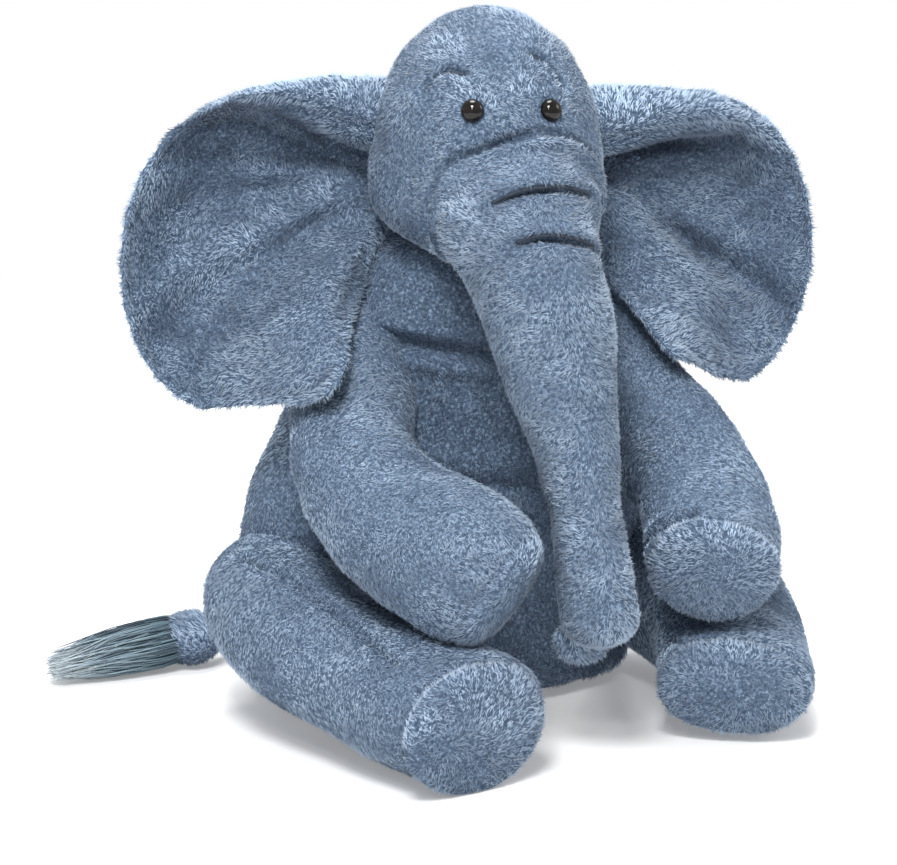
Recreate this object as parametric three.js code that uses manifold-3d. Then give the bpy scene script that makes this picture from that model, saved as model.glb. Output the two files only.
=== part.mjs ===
// A sitting stuffed elephant: plush skins over loose filling, bean pouches in the seat and limbs,
// a head that rests on the chest, a hanging trunk, wide ears, sewn-on limbs and a tasselled tail.
// Millimetres. +Z is up, the elephant faces -Y and its left side is +X. The origin is on the
// surface it sits on, under the torso.
import * as THREE from 'three';
import { mergeVertices } from 'three/addons/utils/BufferGeometryUtils.js';
import Module from 'manifold-3d';

const wasm = await Module();
wasm.setup();

// Driving dimensions
const skinThick = 3;        // plush backing and pile together
const seamGap = 0.4;        // between pieces sewn edge to edge
const fillGap = 2.6;        // between a filling and the skin round it
const swingGap = 1.5;       // between pieces that move past each other
const facetLoss = 2.4;      // how far the flat facets of a coarse cutter fall inside its true shape
const padDepth = 13;        // how far an end pad wraps back from the tip of a limb
const pouchDepth = 42;      // length of the bean pouch at the end of a limb
const seatPouchTop = 34;    // height of the bean pouch in the seat
const tailSkinThick = 2.4;  // the tail is too thin for the full pile
const tailFillGap = 1.4;
const tailHairSocket = 6;   // the tail's skin is open this far before its end, where the tassel goes in
const farAway = 900;        // size of the blocks that trim pieces along a plane

// Joint centres and ranges, in degrees away from the sitting pose
const neck = { centre: [0, 4, 204], axis: [-1, 0, 0], low: 0, high: 22 };
const trunkRoot = { centre: [0, -52, 236], axis: [-1, 0, 0], low: 0, high: 30 };
const earRoot = { centre: [50, -2, 244], axis: [0, 0, -1], low: -2, high: 18 };
const hip = { centre: [88, 16, 46], axis: [0, 0, 1], low: 0, high: 16 };
const tailRoot = { centre: [-14, 84, 30], axis: [0, 0, -1], low: -4, high: 45 };

const plush = new THREE.MeshStandardMaterial({ color: 0x6c819d, roughness: 0.95, metalness: 0 });
const plushShade = new THREE.MeshStandardMaterial({ color: 0x5f7390, roughness: 0.95, metalness: 0 });
const tasselHair = new THREE.MeshStandardMaterial({ color: 0x5b7480, roughness: 0.7, metalness: 0 });
const filling = new THREE.MeshStandardMaterial({ color: 0xf1f0ea, roughness: 1, metalness: 0 });
const pouchCloth = new THREE.MeshStandardMaterial({ color: 0xd9d2c2, roughness: 0.9, metalness: 0 });
const beadBlack = new THREE.MeshStandardMaterial({ color: 0x0a0a0c, roughness: 0.1, metalness: 0 });
const washerWhite = new THREE.MeshStandardMaterial({ color: 0xe8e8e6, roughness: 0.5, metalness: 0 });
const thread = new THREE.MeshStandardMaterial({ color: 0x2a3340, roughness: 0.8, metalness: 0 });

const elephant = new THREE.Group();

// ---------- solids ----------

function signedVolume(positions, triangles) {
  const corner = (i) => new THREE.Vector3().fromArray(positions, 3 * i);
  let sum = 0;
  for (let i = 0; i < triangles.length; i += 3) {
    const [a, b, c] = [corner(triangles[i]), corner(triangles[i + 1]), corner(triangles[i + 2])];
    sum += a.dot(b.cross(c));
  }
  return sum / 6;
}

function solidFrom(positions, triangles) {
  const order = Array.from(triangles);
  if (signedVolume(positions, order) < 0) order.reverse();
  return new wasm.Manifold(new wasm.Mesh({
    numProp: 3,
    vertProperties: Float32Array.from(positions),
    triVerts: Uint32Array.from(order),
  }));
}

function solidOf(geometry, matrix = new THREE.Matrix4()) {
  const bare = geometry.clone().applyMatrix4(matrix);
  bare.deleteAttribute('normal');
  bare.deleteAttribute('uv');
  const merged = mergeVertices(bare, 1e-4);
  return solidFrom(merged.attributes.position.array, merged.index.array);
}

// Half of space: everything past `point` along `direction`.
function halfSpace(point, direction) {
  const turn = new THREE.Quaternion().setFromUnitVectors(new THREE.Vector3(0, 0, 1), direction);
  const centre = point.clone().addScaledVector(direction, farAway / 2);
  const place = new THREE.Matrix4().compose(centre, turn, new THREE.Vector3(1, 1, 1));
  return solidOf(new THREE.BoxGeometry(farAway, farAway, farAway), place);
}

// The matrix of a hinge turned by `angle` degrees.
function turned(joint, angle) {
  const centre = new THREE.Vector3(...joint.centre);
  const spin = new THREE.Matrix4().makeRotationAxis(new THREE.Vector3(...joint.axis).normalize(),
    THREE.MathUtils.degToRad(angle));
  const away = new THREE.Matrix4().makeTranslation(centre.x, centre.y, centre.z);
  const back = new THREE.Matrix4().makeTranslation(-centre.x, -centre.y, -centre.z);
  return away.multiply(spin).multiply(back);
}

// The room a solid takes up over a hinge's whole range. direction -1 gives what passes it instead.
function swept(solid, joint, direction = 1, steps = 4) {
  let room = null;
  for (let i = 0; i <= steps; i++) {
    const angle = joint.low + (joint.high - joint.low) * i / steps;
    const copy = solid.transform(turned(joint, direction * angle).elements);
    room = room ? room.add(copy) : copy;
  }
  return room;
}

function addPiece(name, solid, look) {
  const mesh = solid.getMesh();
  const geometry = new THREE.BufferGeometry();
  geometry.setAttribute('position', new THREE.BufferAttribute(mesh.vertProperties, 3));
  geometry.setIndex(new THREE.BufferAttribute(mesh.triVerts, 1));
  geometry.computeVertexNormals();
  const piece = new THREE.Mesh(geometry, look);
  piece.name = name;
  elephant.add(piece);
}

// ---------- soft forms ----------

// A stuffed form: oval rings round a smooth path, rounded off at both ends.
// A station is [x, y, z, halfWidth, halfDepth]; the width lies along `side`.
function softForm(stations, { side = [1, 0, 0], capStart, capEnd, round = 2.2 }) {
  const path = new THREE.CatmullRomCurve3(stations.map((s) => new THREE.Vector3(s[0], s[1], s[2])));
  const sizes = new THREE.CatmullRomCurve3(stations.map((s) => new THREE.Vector3(s[3], s[4], 0)),
    false, 'catmullrom', 0.5);
  const length = path.getLength();
  const across = new THREE.Vector3(...side);

  const taper = (distance, cap, grow) => {
    if (distance >= cap) return 1;
    const reach = Math.min(1, (cap - distance) / (cap + grow));
    return (1 - reach ** round) ** (1 / round);
  };

  function frameAt(distance) {
    const inside = THREE.MathUtils.clamp(distance, 0, length);
    const t = path.getUtoTmapping(0, inside);
    const along = path.getTangent(t);
    const centre = path.getPoint(t).addScaledVector(along, distance - inside);
    const wide = across.clone().addScaledVector(along, -across.dot(along)).normalize();
    const deep = along.clone().cross(wide);
    const size = sizes.getPoint(t);
    return { centre, along, wide, deep, size };
  }

  function pointAt(distance, angle, grow = 0) {
    const { centre, wide, deep, size } = frameAt(distance);
    const shrink = taper(distance, capStart, grow) * taper(length - distance, capEnd, grow);
    return centre
      .addScaledVector(wide, Math.cos(angle) * (size.x + grow) * shrink)
      .addScaledVector(deep, Math.sin(angle) * (size.y + grow) * shrink);
  }

  function solid(grow = 0, sides = 22, middleRings = 7, capRings = 3) {
    const rings = [];
    for (let k = 1; k <= capRings; k++) {
      rings.push(capStart - (capStart + grow) * Math.cos(k / (capRings + 1) * Math.PI / 2));
    }
    for (let k = 0; k <= middleRings; k++) {
      rings.push(capStart + (length - capEnd - capStart) * k / middleRings);
    }
    for (let k = capRings; k >= 1; k--) {
      rings.push(length - capEnd + (capEnd + grow) * Math.cos(k / (capRings + 1) * Math.PI / 2));
    }
    const positions = [...frameAt(-grow).centre.toArray(), ...frameAt(length + grow).centre.toArray()];
    for (const distance of rings) {
      for (let i = 0; i < sides; i++) {
        positions.push(...pointAt(distance, 2 * Math.PI * i / sides, grow).toArray());
      }
    }
    const corner = (ring, i) => 2 + ring * sides + i % sides;
    const last = rings.length - 1;
    const triangles = [];
    for (let i = 0; i < sides; i++) {
      triangles.push(0, corner(0, i + 1), corner(0, i), 1, corner(last, i), corner(last, i + 1));
      for (let ring = 0; ring < last; ring++) {
        triangles.push(corner(ring, i), corner(ring, i + 1), corner(ring + 1, i + 1));
        triangles.push(corner(ring, i), corner(ring + 1, i + 1), corner(ring + 1, i));
      }
    }
    return solidFrom(positions, triangles);
  }

  // Everything of a form that lies past `distance` along its path.
  function past(distance) {
    const { centre, along } = frameAt(distance);
    return halfSpace(centre, along);
  }

  return { solid, pointAt, frameAt, past, length };
}

const mirrored = (stations) => stations.map(([x, ...rest]) => [-x, ...rest]);

// ---------- the forms ----------

const torso = softForm([
  [0, 20, -12, 88, 56],
  [0, 20, 30, 99, 62],
  [0, 18, 80, 101, 62],
  [0, 14, 120, 88, 56],
  [0, 8, 160, 60, 46],
  [0, 2, 194, 40, 36],
  [0, 0, 210, 32, 30],
], { capStart: 14, capEnd: 14 });

const head = softForm([
  [0, -20, 199, 44, 42],
  [0, -22, 222, 52, 52],
  [0, -21, 250, 53.5, 55],
  [0, -19, 280, 53.5, 53],
  [0, -17, 314, 53, 50],
], { capStart: 24, capEnd: 68, round: 2 });

const trunk = softForm([
  [-4, -34, 242, 38, 32],
  [-5, -62, 223, 37, 32],
  [-3, -80, 199, 32, 29],
  [-1, -89, 176, 29.5, 27],
  [0, -99, 155, 26, 23],
  [0, -110, 131, 20.5, 19],
  [0, -118, 108, 17.5, 18],
  [0, -126, 83, 19.5, 19.5],
  [1, -132, 60, 20, 19.5],
  [1, -134, 50, 19.5, 19],
], { capStart: 14, capEnd: 15 });

const armPaths = {
  right: softForm(mirrored([
    [48, 16, 179, 22, 21],
    [56, -8, 150, 26, 24],
    [71, -40, 120, 30, 29],
    [72, -72, 105, 33, 29],
    [58, -101, 93, 33, 28],
    [36, -125, 81, 28, 27],
  ]), { capStart: 20, capEnd: 22 }),
  left: softForm([
    [48, 14, 180, 22, 21],
    [59, -10, 151, 26, 24],
    [75, -42, 120, 30, 29],
    [78, -74, 102, 31, 29],
    [68, -104, 87, 30, 27],
    [55, -131, 74, 28, 26],
  ], { capStart: 20, capEnd: 12, round: 2.6 }),
};

const legPaths = {
  right: softForm(mirrored([
    [86, 34, 50, 31, 34],
    [92, 0, 49, 35, 35],
    [90, -46, 41, 36, 31.5],
    [72, -97, 33, 36, 29.5],
    [56, -142, 29, 38, 29],
  ]), { capStart: 34, capEnd: 13, round: 2.6 }),
  left: softForm([
    [88, 34, 47, 34, 37],
    [98, 0, 44, 38, 40],
    [101, -46, 36, 38, 35],
    [88, -92, 28, 37, 27.5],
    [65, -132, 24, 37, 24],
  ], { capStart: 34, capEnd: 12, round: 2.6 }),
};

const tail = softForm([
  [-8, 76, 34, 9, 9],
  [-34, 91, 25, 9, 9],
  [-62, 93, 19, 9.5, 9.5],
  [-87, 91, 15, 9.5, 9.5],
], { capStart: 8, capEnd: 6, side: [0, 0, 1] });

const tassel = softForm([
  [-95, 90, 14, 9, 9],
  [-116, 88, 14, 14, 12],
  [-144, 85, 12, 15, 10.5],
  [-174, 79, 8, 7, 6],
], { capStart: 6, capEnd: 14, side: [0.1, 1, 0] });

// ---------- ears ----------

// The ear's outline, as [out from the middle of the head, height], from the top of its root round.
const earOutline = [
  [48, 282], [78, 283], [108, 280], [136, 264], [154, 236], [160, 204], [156, 174], [143, 151],
  [126, 139], [110, 144], [96, 153], [84, 153], [74, 160], [64, 182], [50, 208], [44, 246],
];
const earMiddle = [104, 214];
const headTurn = -10;       // degrees that the face is turned towards its right shoulder
const earEdge = new THREE.CatmullRomCurve3(earOutline.map(([out, up]) => new THREE.Vector3(out, up, 0)), true);
const earRings = [0.3, 0.56, 0.78, 0.94, 1];
const waddingThick = 5;     // at the middle of the ear
const panelThick = 2.2;
const waddingShare = 0.3;   // of the room between the panels, on each side of the middle
const waddingInset = 0.74;
const cup = { depth: 14, rim: 10, openRim: 22, power: 2.4 };   // how the ear is dished towards its middle
const lobe = { out: 72, up: 150, width: 28, height: 38 };      // the loose inner corner

// The turned head drops the right ear's corner further, and the left ear's top lies lower.
const earShapes = {
  left: { lobeReach: 47, rise: 0.84, width: 0.88 },
  right: { lobeReach: 76, rise: 0.95, width: 1 },
};

// The layers of one ear. `rise` and `width` draw in its top and its outer edge.
function makeEar({ lobeReach, rise, width }) {
  // A point on the middle surface: `turn` runs round the outline, `reach` from the middle to the edge.
  function earPoint(turn, reach) {
    const edge = earEdge.getPoint(turn);
    const sideways = (edge.x - earMiddle[0]) * reach;
    const upwards = (edge.y - earMiddle[1]) * reach;
    const out = earMiddle[0] + sideways * (sideways > 0 ? width : 1);
    const up = earMiddle[1] + upwards * (upwards > 0 ? rise : 1);
    const openness = THREE.MathUtils.smoothstep(out, 50, 115);
    const dish = -cup.depth + (cup.rim + cup.openRim * openness) * reach ** cup.power;
    const toLobe = ((out - lobe.out) / lobe.width) ** 2 + ((up - lobe.up) / lobe.height) ** 2;
    const fall = lobeReach * Math.exp(-toLobe);
    return new THREE.Vector3(out, -(dish + fall), up);
  }

  function earNormal(turn, reach) {
    const inner = THREE.MathUtils.clamp(reach, 0.05, 0.93);
    const radial = earPoint(turn, inner + 0.05).sub(earPoint(turn, inner - 0.05));
    const around = earPoint(turn + 0.01, inner).sub(earPoint(turn - 0.01, inner));
    const normal = radial.cross(around).normalize();
    return normal.y > 0 ? normal.negate() : normal;
  }

  // A layer between two offsets from the middle surface, drawn in by `inset` at its edge
  function layer(lowAt, highAt, spokes, inset = 1) {
    const positions = [];
    const place = (turn, ring, offsetAt) => {
      const point = earPoint(turn, ring * inset).addScaledVector(earNormal(turn, ring), offsetAt(ring));
      positions.push(...point.toArray());
    };
    for (const offsetAt of [lowAt, highAt]) {
      place(0, 0, offsetAt);
      for (const ring of earRings) {
        for (let i = 0; i < spokes; i++) place(i / spokes, ring, offsetAt);
      }
    }
    const perFace = 1 + earRings.length * spokes;
    const corner = (face, ring, i) => face * perFace + 1 + ring * spokes + i % spokes;
    const rim = earRings.length - 1;
    const triangles = [];
    const quad = (a, b, c, d) => triangles.push(a, b, c, a, c, d);
    for (let i = 0; i < spokes; i++) {
      triangles.push(0, corner(0, 0, i + 1), corner(0, 0, i));
      triangles.push(perFace, corner(1, 0, i), corner(1, 0, i + 1));
      for (let ring = 0; ring < rim; ring++) {
        quad(corner(0, ring, i), corner(0, ring, i + 1), corner(0, ring + 1, i + 1), corner(0, ring + 1, i));
        quad(corner(1, ring, i), corner(1, ring + 1, i), corner(1, ring + 1, i + 1), corner(1, ring, i + 1));
      }
      quad(corner(0, rim, i), corner(0, rim, i + 1), corner(1, rim, i + 1), corner(1, rim, i));
    }
    return solidFrom(positions, triangles);
  }

  const plump = (ring) => waddingThick / 2 * (1 - ring ** 4) + seamGap / 2;
  const core = (ring) => waddingShare * plump(ring);
  return {
    front: layer(plump, (ring) => plump(ring) + panelThick, 26),
    wadding: layer((ring) => -core(ring), core, 16, waddingInset),
    back: layer((ring) => -plump(ring) - panelThick, (ring) => -plump(ring), 26),
  };
}

const mirrorX = new THREE.Matrix4().makeScale(-1, 1, 1);
const sides = { left: 1, right: -1 };
const headAxis = new THREE.Vector3(0, -20, 0);
const turnHead = new THREE.Matrix4().makeTranslation(headAxis)
  .multiply(new THREE.Matrix4().makeRotationZ(THREE.MathUtils.degToRad(headTurn)))
  .multiply(new THREE.Matrix4().makeTranslation(headAxis.clone().negate()));

// A joint of the left side, or its mirror image on the right.
function sideJoint(joint, side) {
  const [x, y, z] = joint.centre;
  const [ax, ay, az] = joint.axis;
  return { ...joint, centre: [sides[side] * x, y, z], axis: [ax, sides[side] * ay, sides[side] * az] };
}

// The shoulder hinge runs down the upper arm, so that the forearm swings up and out off the lap.
const shoulders = {
  left: { centre: [50, 4, 170], axis: [-0.34, 0.63, 0.7], low: 0, high: 35 },
  right: { centre: [-50, 6, 170], axis: [-0.3, -0.66, -0.69], low: 0, high: 35 },
};

// ---------- pieces ----------

// What is above a level, so that a form rests flat on it.
const above = (level) => halfSpace(new THREE.Vector3(0, 0, level), new THREE.Vector3(0, 0, 1));
const joined = (solids) => solids.reduce((sum, solid) => sum.add(solid));
const biggest = (solid) => solid.decompose().sort((a, b) => b.volume() - a.volume())[0];

// The room that the neighbours of the torso sweep through, `extra` wider than they need.
function roomRoundTorso(extra) {
  const grow = swingGap + facetLoss + extra;
  const legGrow = grow + 1;   // a leg's wide facets lose more
  const limbs = Object.keys(sides).flatMap((side) => [
    swept(legPaths[side].solid(legGrow, 12, 4, 1), sideJoint(hip, side), 1, 1),
    swept(armPaths[side].solid(grow, 12, 4, 1), shoulders[side], 1, 1),
  ]);
  return joined([...limbs,
    swept(head.solid(grow, 12, 3, 1), neck, 1, 1),
    swept(tail.solid(grow, 8, 2, 1), tailRoot, 1, 1)]);
}

// Torso: skin open at the neck, beans in the seat, filling above them
const upright = (radius, height, x, y, z) => (
  solidOf(new THREE.CylinderGeometry(radius, radius, height, 20).rotateX(Math.PI / 2).translate(x, y, z))
);
const neckOpening = upright(20, 60, 0, 4, 190);
const torsoOuter = torso.solid(0, 22, 6, 2).intersect(above(0)).subtract(roomRoundTorso(0));
const torsoInner = torso.solid(-skinThick, 16, 5, 1).intersect(above(skinThick))
  .subtract(roomRoundTorso(skinThick));
const torsoStuffing = biggest(torso.solid(-skinThick - fillGap, 14, 4, 1)
  .intersect(above(skinThick + fillGap)).subtract(roomRoundTorso(skinThick + fillGap)));
addPiece('torso_skin', biggest(torsoOuter.subtract(torsoInner).subtract(neckOpening)), plush);
addPiece('torso_filling', torsoStuffing.intersect(above(seatPouchTop + seamGap)), filling);
addPiece('seat_pouch', torsoStuffing.subtract(above(seatPouchTop)), pouchCloth);

const trunkFacetLoss = 3;
const trunkRoom = swept(trunk.solid(swingGap + trunkFacetLoss, 14, 5, 1), trunkRoot, 1, 2);

// Head: skin open at the neck and where the trunk joins, with holes for the eye shanks
const eyeRadius = 5.2;
const shankRadius = 1.6;
const shankLength = 12;
const washerRadius = 4.5;
const washerThick = 1.6;
const washerInset = 5.5;    // how far the washer lies inside the skin
const pocketInset = 18;     // how far the middle of its pocket in the filling lies inside the surface
const eyeHeight = 272;
const eyeAim = new THREE.Vector3(0, -18, 266);   // the shanks point here, inside the head

// The matrix that stands something on the head's surface: +Z outwards, origin on the skin.
function onHead(target, direction) {
  const outward = new THREE.Vector3(...direction).normalize();
  const turn = new THREE.Quaternion().setFromUnitVectors(new THREE.Vector3(0, 0, 1), outward);
  return new THREE.Matrix4().compose(target, turn, new THREE.Vector3(1, 1, 1));
}

// The point of the head's surface at a height and at an angle from straight ahead.
function headPoint(height, angleFromFront, grow = 0) {
  const angle = Math.PI * 1.5 + angleFromFront;
  let low = 0;
  let high = head.length;
  for (let i = 0; i < 24; i++) {
    const middle = (low + high) / 2;
    if (head.pointAt(middle, angle, grow).z < height) low = middle;
    else high = middle;
  }
  return head.pointAt(low, angle, grow);
}

const faceAngle = THREE.MathUtils.degToRad(headTurn);
const eyeAngles = { left: faceAngle + 0.38, right: faceAngle - 0.38 };
const eyeLathe = (radius, length) => {
  const profile = [];
  for (let k = 0; k <= 6; k++) {
    const lift = k / 6 * Math.PI / 2;
    profile.push(new THREE.Vector2(radius * Math.sin(lift), radius * 0.8 * Math.cos(lift)));
  }
  profile.push(new THREE.Vector2(shankRadius, 0), new THREE.Vector2(shankRadius, -length),
    new THREE.Vector2(0, -length));
  profile[0].x = 0;
  return new THREE.LatheGeometry(profile, 14).rotateX(Math.PI / 2);
};
const washerGeometry = new THREE.LatheGeometry([
  new THREE.Vector2(shankRadius + seamGap, 0), new THREE.Vector2(washerRadius, 0),
  new THREE.Vector2(washerRadius, washerThick), new THREE.Vector2(shankRadius + seamGap, washerThick),
  new THREE.Vector2(shankRadius + seamGap, 0),
], 12).rotateX(Math.PI / 2);
const shankHole = new THREE.CylinderGeometry(shankRadius + seamGap, shankRadius + seamGap, 40, 12)
  .rotateX(Math.PI / 2);
const washerPocket = new THREE.CylinderGeometry(washerRadius + 1.5, washerRadius + 1.5, 40, 12)
  .rotateX(Math.PI / 2);

const eyeLift = seamGap;    // the bead's flat back stands just off the skin
const headHoles = [];
const fillingHoles = [];
for (const side of Object.keys(sides)) {
  const target = headPoint(eyeHeight, eyeAngles[side]);
  const outward = target.clone().sub(eyeAim).normalize();
  const stand = (out) => onHead(target.clone().addScaledVector(outward, out), outward.toArray());
  addPiece(`eye_${side}`, solidOf(eyeLathe(eyeRadius, shankLength), stand(eyeLift)), beadBlack);
  addPiece(`eye_washer_${side}`, solidOf(washerGeometry, stand(-skinThick - washerInset)), washerWhite);
  headHoles.push(solidOf(shankHole, stand(0)));
  fillingHoles.push(solidOf(washerPocket, stand(-pocketInset)));
}

const neckCollar = upright(18, 40, 0, -6, 200);
const headShell = head.solid(0, 24, 6).subtract(head.solid(-skinThick, 18, 5, 2));
addPiece('head_skin', biggest(headShell.subtract(joined([trunkRoom, neckCollar, ...headHoles]))), plush);
addPiece('head_filling', biggest(head.solid(-skinThick - fillGap, 14, 4, 1)
  .subtract(joined([trunkRoom, ...fillingHoles]))), filling);

// A thread that lies on a surface, along points that a function gives
function stitch(name, pointOn, count, radius) {
  const points = Array.from({ length: count }, (_, i) => pointOn(i / (count - 1)));
  const section = new THREE.Shape().absarc(0, 0, radius, 0, 2 * Math.PI);
  const geometry = new THREE.ExtrudeGeometry(section, {
    extrudePath: new THREE.CatmullRomCurve3(points), steps: 8, curveSegments: 3, bevelEnabled: false,
  });
  addPiece(name, solidOf(geometry), thread);
}

const browThread = 0.9;
const brow = { from: 0.4, spread: 0.45, height: 284, arch: 4.5, fall: 2 };   // angles from the face, in radians
for (const side of Object.keys(sides)) {
  stitch(`brow_stitch_${side}`, (t) => {
    const angle = faceAngle + sides[side] * (brow.from + brow.spread * t);
    const height = brow.height + brow.arch * Math.sin(Math.PI * t) - brow.fall * t;
    return headPoint(height, angle, browThread + seamGap);
  }, 7, browThread);
}

// Trunk: skin open at the face, filling, two tucked wrinkles held by stitches, and the finger at its tip
const trunkShell = trunk.solid(0, 18, 9).subtract(trunk.solid(-skinThick, 16, 8, 2));
const trunkMouth = 6;       // the skin is open this far along its path, inside the head
addPiece('trunk_skin', trunkShell.intersect(trunk.past(trunkMouth)), plush);
addPiece('trunk_filling', trunk.solid(-skinThick - fillGap, 14, 8, 2), filling);

const wrinkleThread = 1;
const wrinkles = { upper: { at: 52, spread: 0.75 }, lower: { at: 76, spread: 0.8 } };
for (const [name, wrinkle] of Object.entries(wrinkles)) {
  stitch(`trunk_crease_stitch_${name}`, (t) => {
    const angle = Math.PI * 1.5 + wrinkle.spread * (2 * t - 1);
    return trunk.pointAt(wrinkle.at, angle, wrinkleThread + 2 * seamGap);
  }, 7, wrinkleThread);
}

const finger = softForm([
  [0, -113, 62, 13, 5],
  [0, -115, 52, 15, 6],
  [0, -121, 42, 12, 5.5],
], { capStart: 5, capEnd: 9 });
addPiece('trunk_tip_flap', finger.solid(0, 10, 3, 1).subtract(trunk.solid(seamGap)), plush);

// Ears: two panels with thin wadding between, cut to the head's side
for (const side of Object.keys(sides)) {
  const flat = sideJoint(earRoot, side);
  const joint = { ...flat, centre: new THREE.Vector3(...flat.centre).applyMatrix4(turnHead).toArray() };
  const headPassing = joined([
    swept(head.solid(swingGap + facetLoss, 16, 5, 2), joint, -1, 1),
    swept(trunk.solid(swingGap + facetLoss, 12, 5, 2), joint, -1, 1),
  ]);
  for (const [layer, solid] of Object.entries(makeEar(earShapes[side]))) {
    const own = side === 'left' ? solid : solid.transform(mirrorX.elements);
    const placed = own.transform(turnHead.elements);
    const look = layer === 'wadding' ? filling : plush;
    addPiece(`ear_${side}_${layer}`, biggest(placed.subtract(headPassing)), look);
  }
}

// A limb: a skin open at its tip, the pad that closes it, beans behind the pad and filling
function addLimb(name, padName, form, floorLevel) {
  const layer = (inset, sidesCount, rings, caps) => (
    form.solid(-inset, sidesCount, rings, caps).intersect(above(floorLevel + inset))
  );
  const shell = layer(0, 18, 7, 2).subtract(layer(skinThick, 14, 6, 2));
  const stuffing = layer(skinThick + fillGap, 12, 6, 1);
  const padStart = form.length - padDepth;
  const pouchStart = form.length - pouchDepth;
  addPiece(`${name}_skin`, shell.subtract(form.past(padStart - seamGap)), plush);
  addPiece(`${name}_${padName}`, shell.intersect(form.past(padStart)), plushShade);
  addPiece(`${name}_filling`, stuffing.subtract(form.past(pouchStart - seamGap)), filling);
  addPiece(`${name}_pouch`, stuffing.intersect(form.past(pouchStart)), pouchCloth);
}

for (const side of Object.keys(sides)) {
  addLimb(`arm_${side}`, 'pad', armPaths[side], 0);
  addLimb(`leg_${side}`, 'sole', legPaths[side], 0);
}

// Tail: a short stuffed skin with a tassel of long hair tied into its end
const tasselClearance = 0.2;    // above the surface that the elephant sits on
const tailShell = tail.solid(0, 12, 4, 2).subtract(tail.solid(-tailSkinThick, 10, 4, 1));
const tailEnd = tail.past(tail.length - tailHairSocket);
addPiece('tail_skin', tailShell.subtract(tailEnd), plush);
addPiece('tail_filling', tail.solid(-tailSkinThick - tailFillGap, 10, 4, 2).subtract(tailEnd), filling);
addPiece('tail_tassel', tassel.solid(0, 14, 6, 2).intersect(above(tasselClearance)), tasselHair);
const tie = { start: 5, end: 9, thick: 1.8 };   // along the tassel
const tieRing = tassel.solid(tie.thick, 14, 6, 2).subtract(tassel.solid(seamGap, 14, 6, 2));
addPiece('tail_tie', tieRing.intersect(tassel.past(tie.start)).subtract(tassel.past(tie.end)), thread);

export default elephant;
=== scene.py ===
import bpy
import bmesh
import math
import numpy as np
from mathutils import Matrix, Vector, kdtree


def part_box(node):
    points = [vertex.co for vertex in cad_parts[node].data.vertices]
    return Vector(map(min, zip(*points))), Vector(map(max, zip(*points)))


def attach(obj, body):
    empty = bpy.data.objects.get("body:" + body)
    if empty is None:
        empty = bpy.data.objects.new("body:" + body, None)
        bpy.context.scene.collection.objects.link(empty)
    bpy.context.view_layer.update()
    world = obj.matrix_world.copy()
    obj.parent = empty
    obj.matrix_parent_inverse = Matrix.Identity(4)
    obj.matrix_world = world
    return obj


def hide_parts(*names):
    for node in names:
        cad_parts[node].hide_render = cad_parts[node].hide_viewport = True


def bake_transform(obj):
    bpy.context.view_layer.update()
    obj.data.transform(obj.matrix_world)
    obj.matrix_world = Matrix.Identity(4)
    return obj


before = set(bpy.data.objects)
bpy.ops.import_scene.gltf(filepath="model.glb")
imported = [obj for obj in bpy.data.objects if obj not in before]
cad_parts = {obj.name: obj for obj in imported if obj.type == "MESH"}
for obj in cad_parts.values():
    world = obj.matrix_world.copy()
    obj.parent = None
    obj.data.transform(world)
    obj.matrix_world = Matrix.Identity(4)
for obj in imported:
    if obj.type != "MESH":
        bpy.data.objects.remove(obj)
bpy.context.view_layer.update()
mm = 0.001
print("frame loaded,", len(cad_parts), "nodes")

# ---- camera, floor and light ----

standView = {
    "azimuth": -25,      # degrees round the toy, 0 looks at its front
    "elevation": 12,
    "distance": 1.6,
    "lens": 144.5,
    "target": (-0.008, 0, 0.1198),
}


def addCamera(view):
    turn, lift = math.radians(view["azimuth"]), math.radians(view["elevation"])
    back = Vector((math.sin(turn) * math.cos(lift), -math.cos(turn) * math.cos(lift), math.sin(lift)))
    camera = bpy.data.objects.new("camera", bpy.data.cameras.new("camera"))
    bpy.context.collection.objects.link(camera)
    camera.data.lens = view["lens"]
    camera.data.clip_start = 0.05
    camera.location = Vector(view["target"]) + back * view["distance"]
    camera.rotation_euler = back.to_track_quat("Z", "Y").to_euler()
    bpy.context.scene.camera = camera


addCamera(standView)


def addLamp(name, place, aim, size, power):
    lamp = bpy.data.objects.new(name, bpy.data.lights.new(name, "AREA"))
    bpy.context.collection.objects.link(lamp)
    lamp.data.shape = "DISK"
    lamp.data.size = size
    lamp.data.energy = power
    lamp.location = place
    lamp.rotation_euler = (Vector(place) - Vector(aim)).to_track_quat("Z", "Y").to_euler()


studio = {
    "key": {"place": (-0.8, -1.2, 1.7), "size": 0.6, "power": 40},
    "side": {"place": (1.5, -0.6, 1.0), "size": 0.8, "power": 5},
    "top": {"place": (0.1, 0.3, 1.9), "size": 0.9, "power": 25},
    "glint": {"place": (-0.75, -1.2, 0.95), "size": 0.1, "power": 3},
}
for lampName, lamp in studio.items():
    addLamp(lampName, lamp["place"], (0, -0.02, 0.15), lamp["size"], lamp["power"])

world = bpy.data.worlds.new("paleRoom")
bpy.context.scene.world = world
world.use_nodes = True
world.node_tree.nodes["Background"].inputs["Color"].default_value = (1, 1, 1, 1)
background = world.node_tree.nodes["Background"]
background.inputs["Strength"].default_value = 1.0
rays = world.node_tree.nodes.new("ShaderNodeLightPath")
dimmer = world.node_tree.nodes.new("ShaderNodeMapRange")
dimmer.inputs["To Min"].default_value = 0.54      # what lights the toy
dimmer.inputs["To Max"].default_value = 1.0       # what the camera sees
world.node_tree.links.new(rays.outputs["Is Camera Ray"], dimmer.inputs["Value"])
world.node_tree.links.new(dimmer.outputs["Result"], background.inputs["Strength"])
bpy.context.scene.view_settings.view_transform = "Standard"

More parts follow.
